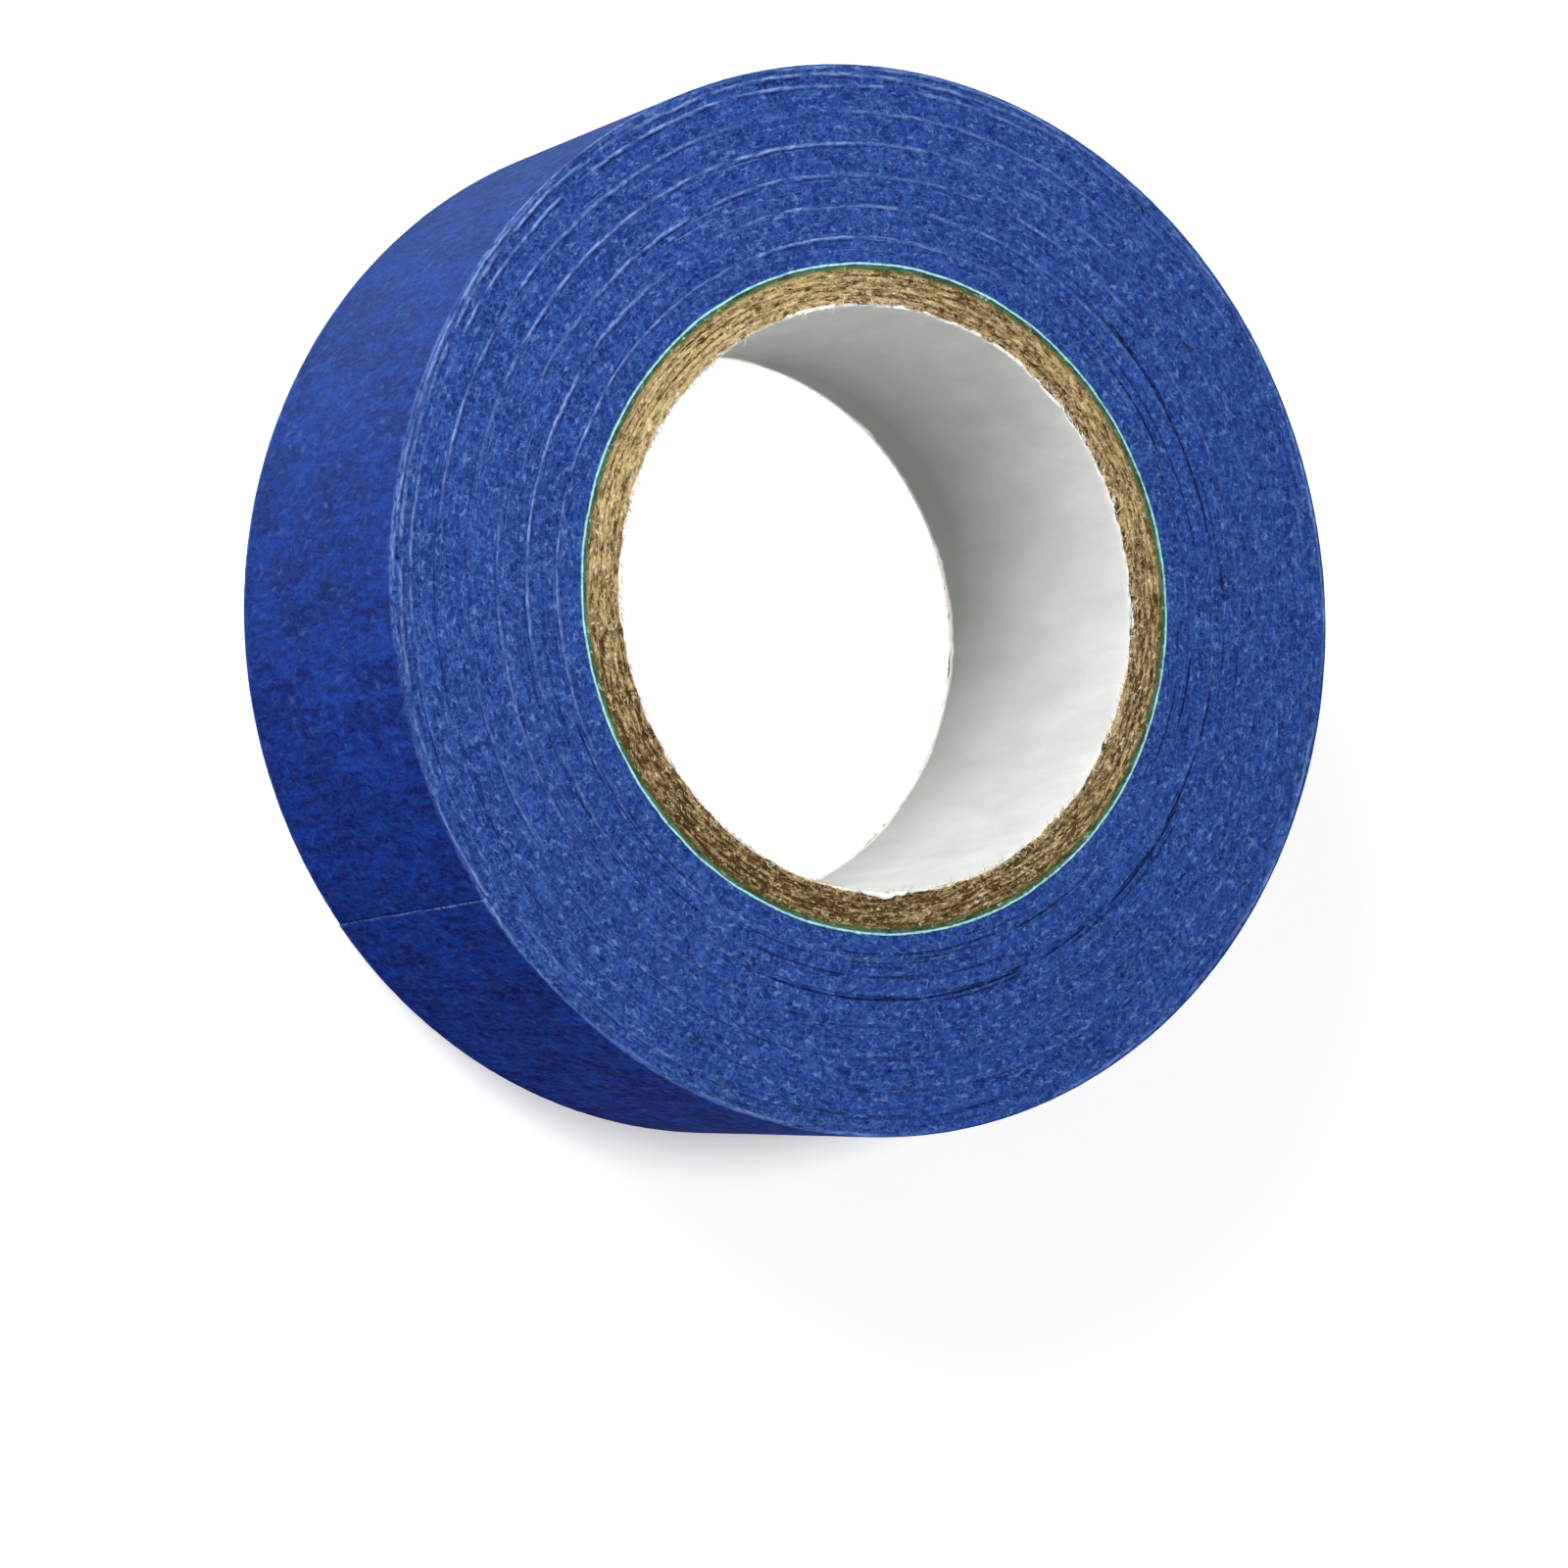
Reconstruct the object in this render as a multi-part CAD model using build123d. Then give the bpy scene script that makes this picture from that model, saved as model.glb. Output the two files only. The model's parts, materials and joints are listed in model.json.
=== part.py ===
from build123d import *
import math
import os

# A roll of crepe-paper masking tape, lying flat. Millimetres throughout.
# The origin is the centre of the lower side face, +Z is the axis the tape is wound about,
# and +X passes through the free end of the tape. Seen from above, the tape runs clockwise
# from the core out to its free end, so its radius falls as the angle from +X grows.

# Core: a spirally wound board tube for a 3 inch (76.2 mm) hub, from the bore outwards
BORE_RADIUS = 38.1
LINER_THICKNESS = 0.45
KRAFT_PLY_COUNT = 5
KRAFT_PLY_THICKNESS = 0.88
GREEN_PLY_THICKNESS = 0.45
TEAL_WRAP_THICKNESS = 0.4

# Tape: one strip, as wide as the core is long, wound tight on the core
TAPE_WIDTH = 48.0
TURN_PITCH = 0.1625
BACKING_THICKNESS = 0.115
ADHESIVE_THICKNESS = 0.035

# Whole turns in each band of the wound tape, from the core outwards. Each band is a length
# of the same strip, and one more turn lies over the last band.
BAND_TURNS = (22, 26, 25, 26, 25, 21, 14)

# The loose end: the last stretch of the outermost turn, which peels away from the roll.
# It bends at hinge lines along its outer surface, between equal segments.
FLAP_ANGLE = 56.0
FLAP_SEGMENTS = 8
SEGMENT_GAP = 0.01


def core_radius():
    """The outside of the finished core, where the tape starts."""
    kraft = KRAFT_PLY_COUNT * KRAFT_PLY_THICKNESS
    return BORE_RADIUS + LINER_THICKNESS + kraft + GREEN_PLY_THICKNESS + TEAL_WRAP_THICKNESS


def outer_radius(turns):
    """The tape's radius on +X after this many turns."""
    return core_radius() + turns * TURN_PITCH


def turn_edges(start_radius, start, end):
    """One turn of the wound tape's surface between two angles from +X, as half circles.

    The second half circle is smaller and off centre by the same step as the first, on the
    other side, so together they come in by one pitch in a full turn.
    """
    step = TURN_PITCH / 4
    halves = (
        (0, 180, step, start_radius - step),
        (180, 360, -step, start_radius - 3 * step),
    )
    edges = []
    for low, high, centre_x, radius in halves:
        first = max(start, low)
        last = min(end, high)
        if first < last:
            edges.append(CenterArc((centre_x, 0), radius, first, last - first))
    return edges


def raised(face):
    """A flat outline in the XY plane made as tall as the tape is wide."""
    return extrude(face, amount=TAPE_WIDTH)


def ring(inner, outer):
    """A plain round tube, as each layer of the core is."""
    return raised(Circle(outer) - Circle(inner))


def wound_outline(turns):
    """The whole outline after some turns, with the step that the cut strip makes on +X."""
    edges = turn_edges(outer_radius(turns), 0, 360)
    closing = Line(edges[-1] @ 1, edges[0] @ 0)
    return Face(Wire(edges + [closing]))


def tape_band(first_turn, last_turn):
    """The wound tape between two turns."""
    inside = wound_outline(first_turn) if first_turn else Face(Wire.make_circle(core_radius()))
    return raised(wound_outline(last_turn) - inside)


def strip(start, end, depth, thickness):
    """A stretch of the outermost turn, this deep under its outer surface."""
    top_radius = outer_radius(sum(BAND_TURNS) + 1) - depth
    outside = turn_edges(top_radius, start, end)
    inside = turn_edges(top_radius - thickness, start, end)
    ends = [Line(inside[0] @ 0, outside[0] @ 0), Line(outside[-1] @ 1, inside[-1] @ 1)]
    return raised(Face(Wire(outside + inside + ends)))


def core_nodes():
    """The layers of the core, by name."""
    nodes = {"core_liner": ring(BORE_RADIUS, BORE_RADIUS + LINER_THICKNESS)}
    radius = BORE_RADIUS + LINER_THICKNESS
    for number in range(1, KRAFT_PLY_COUNT + 1):
        nodes[f"core_kraft_ply_{number}"] = ring(radius, radius + KRAFT_PLY_THICKNESS)
        radius += KRAFT_PLY_THICKNESS
    nodes["core_green_ply"] = ring(radius, radius + GREEN_PLY_THICKNESS)
    radius += GREEN_PLY_THICKNESS
    nodes["core_teal_wrap"] = ring(radius, radius + TEAL_WRAP_THICKNESS)
    return nodes


def tape_nodes():
    """The wound tape that stays on the roll, by name."""
    nodes = {}
    turn = 0
    for number, turns in enumerate(BAND_TURNS, 1):
        nodes[f"tape_band_{number}"] = tape_band(turn, turn + turns)
        turn += turns
    nodes["tape_last_turn"] = strip(FLAP_ANGLE, 360, 0, TURN_PITCH)
    return nodes


def flap_nodes():
    """The loose end's segments, from its root to its tip, each a backing on an adhesive layer."""
    span = FLAP_ANGLE / FLAP_SEGMENTS
    gap = math.degrees(SEGMENT_GAP / outer_radius(sum(BAND_TURNS) + 1))
    nodes = {}
    for number in range(1, FLAP_SEGMENTS + 1):
        end = FLAP_ANGLE - span * (number - 1) - gap
        start = FLAP_ANGLE - span * number
        nodes[f"flap_backing_{number}"] = strip(start, end, 0, BACKING_THICKNESS)
        adhesive = strip(start, end, BACKING_THICKNESS, ADHESIVE_THICKNESS)
        nodes[f"flap_adhesive_{number}"] = adhesive
    return nodes


os.makedirs("parts", exist_ok=True)
for name, solid in {**core_nodes(), **tape_nodes(), **flap_nodes()}.items():
    export_step(solid, f"parts/{name}.step")
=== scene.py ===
import json
import math

import bpy
import numpy as np
from mathutils import Matrix, Vector


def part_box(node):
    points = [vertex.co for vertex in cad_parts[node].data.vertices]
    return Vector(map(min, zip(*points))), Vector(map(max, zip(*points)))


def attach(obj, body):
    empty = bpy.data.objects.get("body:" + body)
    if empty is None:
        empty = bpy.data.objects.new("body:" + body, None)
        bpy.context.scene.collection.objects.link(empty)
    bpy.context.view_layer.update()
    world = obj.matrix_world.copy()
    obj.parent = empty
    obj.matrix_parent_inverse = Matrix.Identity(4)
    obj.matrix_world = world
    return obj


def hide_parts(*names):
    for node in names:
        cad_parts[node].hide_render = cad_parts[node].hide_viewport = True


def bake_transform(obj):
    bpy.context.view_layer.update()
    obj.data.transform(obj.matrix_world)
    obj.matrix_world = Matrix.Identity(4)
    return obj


# A roll of blue crepe-paper masking tape lying flat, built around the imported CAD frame.
# Lengths are millimetres until a mesh is made. Angles are degrees from +X, where the tape ends.
# A point of the wound tape is known by its turn, counted inwards from the free end, and its angle.

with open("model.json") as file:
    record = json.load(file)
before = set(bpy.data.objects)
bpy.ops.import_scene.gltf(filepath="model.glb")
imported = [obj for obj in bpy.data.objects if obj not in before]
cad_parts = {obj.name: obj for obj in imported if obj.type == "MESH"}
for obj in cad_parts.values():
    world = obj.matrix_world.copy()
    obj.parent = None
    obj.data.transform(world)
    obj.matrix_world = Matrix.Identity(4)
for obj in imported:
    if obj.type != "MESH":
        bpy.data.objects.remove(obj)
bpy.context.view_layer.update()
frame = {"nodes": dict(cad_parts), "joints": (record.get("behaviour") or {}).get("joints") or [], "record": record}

MM = 0.001


# ---------------------------------------------------------------- sizes read from the frame

def reach(node):
    """How far a node reaches along +X, in mm: its outer radius."""
    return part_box(node)[1].x / MM


def mount_radius(name):
    """The stated radius of a mount, in mm."""
    mounts = {mount["name"]: mount for mount in frame["record"]["mounts"]}
    return mounts[name]["dims"]["r_mm"]


def numbered(stem):
    """The nodes called STEM1, STEM2 and so on, in that order."""
    names = [name for name in frame["nodes"] if name.startswith(stem)]
    return sorted(names, key=lambda name: int(name[len(stem):]))


BANDS = numbered("tape_band_")
PLIES = numbered("core_kraft_ply_")
BACKINGS = numbered("flap_backing_")
ADHESIVES = numbered("flap_adhesive_")
HINGES = {joint["child"]: joint for joint in frame["joints"]}

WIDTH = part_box("core_liner")[1].z / MM
BORE = mount_radius("core_bore")
LINER = reach("core_liner")
KRAFT = reach(PLIES[-1])
GREEN = reach("core_green_ply")
CORE = reach("core_teal_wrap")
ROLL = reach(BACKINGS[-1])
PITCH = ROLL - reach(BANDS[-1])

# The two layers of the tape, as the CAD has them
BACKING = 0.115
ADHESIVE = 0.035


def hinge_angle(body):
    """The angle at which a body of the loose end is hinged, in degrees."""
    x, y = HINGES[body]["pos_m"][:2]
    return math.degrees(math.atan2(y, x))


FLAP_BODIES = [f"flap_{number}" for number in range(1, len(BACKINGS) + 1)]
FLAP_ANGLE = round(hinge_angle(FLAP_BODIES[0]), 2)
SEGMENT = FLAP_ANGLE / len(FLAP_BODIES)


# ---------------------------------------------------------------- soft random values

LINE_SPAN = 4096    # the random values along a line repeat after this many, unless told otherwise
SPAN = 512          # and those of a plane, and the ones picked by number, after this many


def noise_line(seed, x, period=LINE_SPAN):
    """Soft random values from -1 to 1 along a line, one new value per unit."""
    table = np.random.default_rng(seed).uniform(-1, 1, period)
    low = np.floor(x).astype(int)
    part = x - low
    part = part * part * (3 - 2 * part)
    return table[low % period] * (1 - part) + table[(low + 1) % period] * part


def noise_plane(seed, x, y, period=SPAN):
    """Soft random values from -1 to 1 over a plane, one new value per unit square."""
    table = np.random.default_rng(seed).uniform(-1, 1, (period, SPAN))
    low_x, low_y = np.floor(x).astype(int), np.floor(y).astype(int)
    part_x, part_y = x - low_x, y - low_y
    part_x = part_x * part_x * (3 - 2 * part_x)
    part_y = part_y * part_y * (3 - 2 * part_y)
    x0, x1 = low_x % period, (low_x + 1) % period
    y0, y1 = low_y % SPAN, (low_y + 1) % SPAN
    near = table[x0, y0] * (1 - part_x) + table[x1, y0] * part_x
    far = table[x0, y1] * (1 - part_x) + table[x1, y1] * part_x
    return near * (1 - part_y) + far * part_y


def pick(seed, number):
    """A random value from 0 to 1 for each whole number."""
    return np.random.default_rng(seed).uniform(0, 1, SPAN)[number % SPAN]


def patches(seed, x, low, high, period=LINE_SPAN):
    """Values from 0 to 1 that come and go along a line, for things that are there in places."""
    return np.clip((noise_line(seed, x, period) - low) / (high - low), 0, 1)


# ---------------------------------------------------------------- meshes

def make_object(name, points, faces, smooth_angle=50):
    """A mesh object at the origin, with edges sharper than the given angle kept sharp."""
    mesh = bpy.data.meshes.new(name)
    mesh.from_pydata((points * MM).tolist(), [], faces)
    mesh.shade_smooth()
    mesh.set_sharp_from_angle(angle=math.radians(smooth_angle))
    made = bpy.data.objects.new(name, mesh)
    bpy.context.scene.collection.objects.link(made)
    return made


def add_layer(made, name, values):
    """One number for each vertex, which the materials read."""
    layer = made.data.attributes.new(name, "FLOAT", "POINT")
    layer.data.foreach_set("value", np.ascontiguousarray(values, np.float32).ravel())


def add_strip_map(made, along, across):
    """A UV map in mm along and across the tape, which stays with it."""
    corners = np.empty(len(made.data.loops), int)
    made.data.loops.foreach_get("vertex_index", corners)
    values = np.stack([along.ravel(), across.ravel()], -1)[corners]
    made.data.uv_layers.new(name="strip").data.foreach_set("uv", values.ravel())


def sweep(name, angle, radius, height, closed, smooth_angle=50):
    """A solid from sections side by side round the axis, each row of the arrays one section.

    A section runs outwards-in over the top, down the inside, in-outwards below and up the
    outside. An open sweep gets a flat face at each end.
    """
    sections, rows = radius.shape
    turned = np.radians(np.broadcast_to(angle, radius.shape))
    points = np.stack([radius * np.cos(turned), radius * np.sin(turned), height], -1)
    number = np.arange(sections * rows).reshape(sections, rows)
    here = number if closed else number[:-1]
    there = np.roll(number, -1, 0) if closed else number[1:]
    quads = np.stack([here, there, np.roll(there, -1, 1), np.roll(here, -1, 1)], -1)
    faces = quads.reshape(-1, 4).tolist()
    if not closed:
        faces += [number[0].tolist(), number[-1][::-1].tolist()]
    return make_object(name, points.reshape(-1, 3), faces, smooth_angle)


def paint_rows(made, sections, rows, first, last, index):
    """Gives the quads between two rows of a sweep another of its materials."""
    picked = np.zeros(len(made.data.polygons), np.int32)
    row = np.arange(sections * rows) % rows
    picked[:sections * rows] = np.where((row >= first) & (row < last), index, 0)
    made.data.polygons.foreach_set("material_index", picked)


# ---------------------------------------------------------------- materials

class Paint:
    """One procedural material: a Principled shader and the nodes that feed it."""

    def __init__(self, name, roughness=0.6, **sockets):
        self.material = bpy.data.materials.new(name)
        self.material.use_nodes = True
        self.tree = self.material.node_tree
        self.shader = self.tree.nodes["Principled BSDF"]
        self.set_value("Roughness", roughness)
        for socket, value in sockets.items():
            self.set_value(socket.replace("_", " "), value)

    def set_value(self, socket, value):
        """Sets one of the shader's inputs."""
        self.shader.inputs[socket].default_value = value

    def node(self, kind, **settings):
        """A new node with these settings."""
        made = self.tree.nodes.new(kind)
        for setting, value in settings.items():
            setattr(made, setting, value)
        return made

    def feed(self, socket, value):
        """Links an output, or sets a plain value, on an input."""
        if isinstance(value, bpy.types.NodeSocket):
            self.tree.links.new(value, socket)
        else:
            socket.default_value = value

    def place(self):
        """The point in mm, in the roll's own frame."""
        spot = self.node("ShaderNodeTexCoord").outputs["Object"]
        return self.scaled(spot, (1 / MM,) * 3)

    def strip_place(self):
        """The point in mm along and across the tape."""
        return self.node("ShaderNodeUVMap", uv_map="strip").outputs["UV"]

    def scaled(self, vector, factors):
        """A vector times one factor per axis."""
        scale = self.node("ShaderNodeVectorMath", operation="MULTIPLY")
        self.feed(scale.inputs[0], vector)
        scale.inputs[1].default_value = factors
        return scale.outputs["Vector"]

    def layer(self, name):
        """The numbers that the mesh's vertices have under this name."""
        return self.node("ShaderNodeAttribute", attribute_name=name).outputs["Fac"]

    def noise(self, vector, size, detail=2.0, roughness=0.5, distortion=0.0):
        """Noise from about 0 to 1 whose blotches are about this many mm across, per axis."""
        sizes = size if isinstance(size, tuple) else (size,) * 3
        texture = self.node("ShaderNodeTexNoise")
        self.feed(texture.inputs["Vector"], self.scaled(vector, [1 / each for each in sizes]))
        texture.inputs["Scale"].default_value = 1.0
        texture.inputs["Detail"].default_value = detail
        texture.inputs["Roughness"].default_value = roughness
        texture.inputs["Distortion"].default_value = distortion
        return texture.outputs["Fac"]

    def wound(self, along, across):
        """Noise coordinates that follow the turns, so that blotches are drawn out round the axis."""
        flat = self.node("ShaderNodeVectorMath", operation="NORMALIZE")
        self.feed(flat.inputs[0], self.scaled(self.place(), (1, 1, 0)))
        ring = self.scaled(flat.outputs["Vector"], (ROLL / along, ROLL / along, 0))
        height = self.node("ShaderNodeCombineXYZ")
        self.feed(height.inputs["Z"], self.maths("DIVIDE", self.radius(), across))
        total = self.node("ShaderNodeVectorMath", operation="ADD")
        self.feed(total.inputs[0], ring)
        self.feed(total.inputs[1], height.outputs["Vector"])
        return total.outputs["Vector"]

    def threads(self, vector, size, width, **settings):
        """Thin wandering lines, 1 on the line and 0 off it, where a noise passes its middle."""
        noise = self.noise(vector, size, **settings)
        away = self.maths("ABSOLUTE", self.maths("SUBTRACT", noise, 0.5))
        return self.spread(away, 0.0, width, 1.0, 0.0)

    def spread(self, value, low, high, to_low=0.0, to_high=1.0):
        """Maps low..high to to_low..to_high, and holds there outside it."""
        ranged = self.node("ShaderNodeMapRange")
        self.feed(ranged.inputs["Value"], value)
        ranged.inputs["From Min"].default_value = low
        ranged.inputs["From Max"].default_value = high
        ranged.inputs["To Min"].default_value = to_low
        ranged.inputs["To Max"].default_value = to_high
        return ranged.outputs["Result"]

    def total(self, *parts):
        """The sum of values, each given with its weight."""
        summed = 0.0
        for value, weight in parts:
            step = self.maths("MULTIPLY_ADD", value, weight)
            self.feed(step.node.inputs[2], summed)
            summed = step
        return summed

    def maths(self, operation, first, second=0.0):
        """One sum of one or two values."""
        sum_node = self.node("ShaderNodeMath", operation=operation)
        self.feed(sum_node.inputs[0], first)
        self.feed(sum_node.inputs[1], second)
        return sum_node.outputs["Value"]

    def blend(self, amount, first, second):
        """A colour between two."""
        mixed = self.node("ShaderNodeMix", data_type="RGBA")
        self.feed(mixed.inputs["Factor"], amount)
        for socket, value in (("A", first), ("B", second)):
            inputs = [each for each in mixed.inputs if each.name == socket and each.type == "RGBA"]
            self.feed(inputs[0], value if isinstance(value, bpy.types.NodeSocket) else (*value, 1))
        return [each for each in mixed.outputs if each.type == "RGBA"][0]

    def radius(self):
        """The point's distance from the roll's axis, in mm."""
        flat = self.scaled(self.place(), (1, 1, 0))
        length = self.node("ShaderNodeVectorMath", operation="LENGTH")
        self.feed(length.inputs[0], flat)
        return length.outputs["Value"]

    def colour(self, value):
        """Feeds the shader's colour."""
        self.feed(self.shader.inputs["Base Color"], value)

    def rough(self, value):
        """Feeds the shader's roughness."""
        self.feed(self.shader.inputs["Roughness"], value)

    def bump(self, height, depth):
        """Fine relief: a height from 0 to 1 over this many mm."""
        relief = self.node("ShaderNodeBump")
        relief.inputs["Distance"].default_value = depth * MM
        self.feed(relief.inputs["Height"], height)
        self.feed(self.shader.inputs["Normal"], relief.outputs["Normal"])


def srgb(red, green, blue):
    """A display colour from 0 to 255 as linear light."""
    return tuple(
        part / 12.92 if part <= 0.04045 else ((part + 0.055) / 1.055) ** 2.4
        for part in (red / 255, green / 255, blue / 255)
    )


def tape_side_paint():
    """The wound tape's side: paper edges packed together, flecked light and dark, with painted highlight and
    shade.
    """
    paint = Paint("tape_side", roughness=0.8, Specular_IOR_Level=0.08)
    place = paint.place()
    grain = paint.noise(place, 0.6, detail=2, roughness=0.6)
    cloud = paint.noise(place, 6.0, detail=3)
    threads = paint.threads(place, 1.1, 0.05, detail=2, distortion=0.5)
    drawn = paint.noise(paint.wound(1.5, 0.34), 1.0, detail=2)
    turns = paint.noise(paint.wound(9.0, 0.22), 1.0, detail=1)
    mottle = paint.noise(place, 1.7, detail=2, roughness=0.6)
    flecks = paint.noise(paint.wound(1.4, 0.7), 1.0, detail=3, roughness=0.65, distortion=0.5)
    mixed = paint.total(
        (grain, 1.2), (mottle, 0.9), (drawn, 0.7), (turns, 0.4), (cloud, 0.4),
        (paint.layer("tone"), 0.16),
    )
    base = paint.blend(paint.spread(mixed, 1.35, 2.35), srgb(7, 29, 92), srgb(44, 78, 152))
    base = paint.blend(paint.spread(threads, 0, 1, 0.0, 0.42), base, srgb(76, 112, 180))
    base = paint.blend(paint.spread(flecks, 0.56, 0.7, 0.0, 0.62), base, srgb(104, 138, 196))
    base = paint.blend(paint.spread(drawn, 0.36, 0.24, 0.0, 0.4), base, srgb(5, 20, 66))
    # The band rims' painted shade and painted highlight, broken up into dashes.
    ragged = paint.noise(paint.wound(1.1, 0.34), 1.0, detail=2)
    shade = paint.maths("MULTIPLY", paint.layer("shade"), paint.spread(ragged, 0.7, 0.44, 0.4))
    base = paint.blend(shade, base, srgb(3, 14, 54))
    shine = paint.maths("MULTIPLY", paint.layer("shine"), paint.spread(ragged, 0.36, 0.56, 0.25))
    paint.colour(paint.blend(shine, base, srgb(134, 164, 218)))
    paint.rough(paint.spread(grain, 0.3, 0.7, 0.9, 0.7))
    paint.bump(paint.total((grain, 0.7), (drawn, 0.5), (shine, 0.4)), 0.09)
    return paint.material


def crepe_paint():
    """The tape's face: crepe paper, wrinkled across its length, with paler flecks and a painted sheen."""
    paint = Paint("tape_crepe", roughness=0.9, Specular_IOR_Level=0.015)
    strip = paint.strip_place()
    painted_sheen = paint.layer("painted_sheen")
    cloud = paint.noise(strip, (7.0, 10.0, 1.0), detail=4, roughness=0.6)
    ridges = paint.noise(strip, (0.75, 2.4, 1.0), detail=2, roughness=0.55, distortion=0.8)
    threads = paint.threads(strip, (0.9, 2.8, 1.0), 0.055, detail=2, distortion=0.9)
    spots = paint.noise(strip, (1.4, 2.4, 1.0), detail=3, roughness=0.6, distortion=0.5)
    mixed = paint.total((ridges, 1.5), (cloud, 0.7), (paint.layer("tone"), 0.25))
    base = paint.blend(paint.spread(mixed, 0.85, 1.75), srgb(0, 14, 88), srgb(16, 62, 162))
    # Painted sheen towards the key light: more pale threads and spots there, and a greyish veil.
    pale = paint.spread(painted_sheen, 0, 1, 0.3)
    threads_here = paint.maths("MULTIPLY", threads, paint.spread(pale, 0, 1, 0.0, 0.4))
    base = paint.blend(threads_here, base, srgb(48, 86, 166))
    pale_spots = paint.spread(spots, 0.58, 0.78)
    spots_here = paint.maths("MULTIPLY", pale_spots, paint.spread(pale, 0, 1, 0.0, 0.55))
    base = paint.blend(spots_here, base, srgb(84, 120, 184))
    base = paint.blend(paint.spread(painted_sheen, 0, 1, 0.0, 0.34), base, srgb(72, 96, 130))
    ragged = paint.noise(strip, (1.3, 0.5, 1.0), detail=2)
    shine = paint.maths("MULTIPLY", paint.layer("shine"), paint.spread(ragged, 0.36, 0.56))
    paint.colour(paint.blend(shine, base, srgb(112, 144, 204)))
    paint.rough(paint.spread(spots, 0.3, 0.7, 0.9, 0.7))
    paint.bump(paint.total((ridges, 0.8), (threads, 0.25)), 0.09)
    return paint.material


def adhesive_paint():
    """The sticky side: a thin, slightly cloudy film over the back of the paper."""
    paint = Paint("tape_adhesive", roughness=0.35, Coat_Weight=0.2, Coat_Roughness=0.25)
    strip = paint.strip_place()
    streaks = paint.noise(strip, (0.7, 2.6, 1.0), detail=2, roughness=0.55, distortion=0.7)
    threads = paint.threads(strip, (0.9, 3.0, 1.0), 0.05, detail=2, distortion=0.9)
    cloud = paint.noise(strip, (6.0, 9.0, 1.0), detail=3)
    base = paint.blend(paint.spread(streaks, 0.3, 0.7), srgb(50, 92, 166), srgb(78, 120, 190))
    base = paint.blend(paint.spread(cloud, 0.35, 0.7, 0.0, 0.25), base, srgb(104, 142, 202))
    base = paint.blend(paint.spread(threads, 0, 1, 0.0, 0.25), base, srgb(126, 160, 214))
    paint.colour(base)
    paint.rough(paint.spread(streaks, 0.3, 0.7, 0.26, 0.45))
    paint.bump(streaks, 0.06)
    return paint.material


def kraft_paint():
    """The board's cut edge: brown plies drawn out round the axis, with gaps and pale fibres."""
    paint = Paint("core_kraft", roughness=0.85, Specular_IOR_Level=0.15)
    place = paint.place()
    grain = paint.noise(place, 0.35, detail=3, roughness=0.6)
    drawn = paint.noise(paint.wound(3.0, 0.42), 1.0, detail=3, roughness=0.6)
    fibres = paint.noise(paint.wound(1.4, 0.4), 1.0, detail=2, roughness=0.6, distortion=1.2)
    gaps = paint.noise(paint.wound(4.0, 0.46), 1.0, detail=3, roughness=0.65)
    mixed = paint.total((drawn, 1.2), (grain, 0.6), (fibres, 0.7), (paint.layer("tone"), 0.4))
    base = paint.blend(paint.spread(mixed, 0.99, 1.64), srgb(76, 53, 20), srgb(200, 176, 126))
    base = paint.blend(paint.spread(fibres, 0.55, 0.74, 0.0, 0.8), base, srgb(228, 212, 174))
    base = paint.blend(paint.spread(gaps, 0.44, 0.33, 0.0, 0.9), base, srgb(54, 34, 12))
    ragged = paint.spread(fibres, 0.66, 0.46, 0.2)
    base = paint.blend(paint.maths("MULTIPLY", paint.layer("shade"), ragged), base, srgb(44, 26, 8))
    stained = paint.maths("MULTIPLY", paint.spread(paint.radius(), KRAFT - 1.0, KRAFT), drawn)
    base = paint.blend(paint.spread(stained, 0.15, 0.6, 0.0, 0.75), base, srgb(72, 82, 32))
    paint.colour(base)
    paint.rough(paint.spread(grain, 0.3, 0.7, 0.95, 0.75))
    paint.bump(paint.total((grain, 0.4), (fibres, 0.6), (gaps, 0.5)), 0.2)
    return paint.material


def dyed_paint(name, dark, light, size):
    """A thin dyed ply, seen on edge."""
    paint = Paint(name, roughness=0.7)
    grain = paint.noise(paint.place(), size, detail=3, roughness=0.6)
    mixed = paint.total((paint.layer("tone"), 0.35), (grain, 1.0))
    base = paint.blend(paint.spread(mixed, 0.2, 0.8), dark, light)
    specks = paint.noise(paint.place(), 1.3, detail=3, roughness=0.7)
    paint.colour(paint.blend(paint.spread(specks, 0.6, 0.72, 0.0, 0.6), base, srgb(206, 222, 214)))
    paint.rough(paint.spread(grain, 0.3, 0.7, 0.8, 0.6))
    paint.bump(grain, 0.05)
    return paint.material


def liner_paint():
    """The smooth white paper in the bore, faintly mottled, with painted shade from the shade layer."""
    paint = Paint("core_liner", roughness=0.55)
    place = paint.place()
    cloud = paint.noise(place, (4.5, 4.5, 14.0), detail=4, roughness=0.6)
    fibre = paint.noise(place, 0.5, detail=3)
    base = paint.blend(paint.spread(cloud, 0.3, 0.7), srgb(226, 227, 225), srgb(246, 246, 244))
    base = paint.blend(paint.spread(fibre, 0.5, 0.8, 0.0, 0.3), base, srgb(222, 221, 216))
    # Painted shade, on one side of the bore and further down it.
    base = paint.blend(paint.layer("shade"), base, srgb(112, 117, 110))
    paint.colour(base)
    paint.rough(paint.spread(cloud, 0.3, 0.7, 0.62, 0.5))
    paint.bump(fibre, 0.03)
    return paint.material


def fibre_paint():
    """Loose paper fibres, from brown to white."""
    paint = Paint("paper_fibre", roughness=0.8)
    fleck = paint.noise(paint.place(), 0.8)
    brown = paint.blend(fleck, srgb(150, 118, 74), srgb(214, 192, 152))
    paint.colour(paint.blend(paint.layer("tone"), brown, srgb(242, 240, 232)))
    return paint.material


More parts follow.
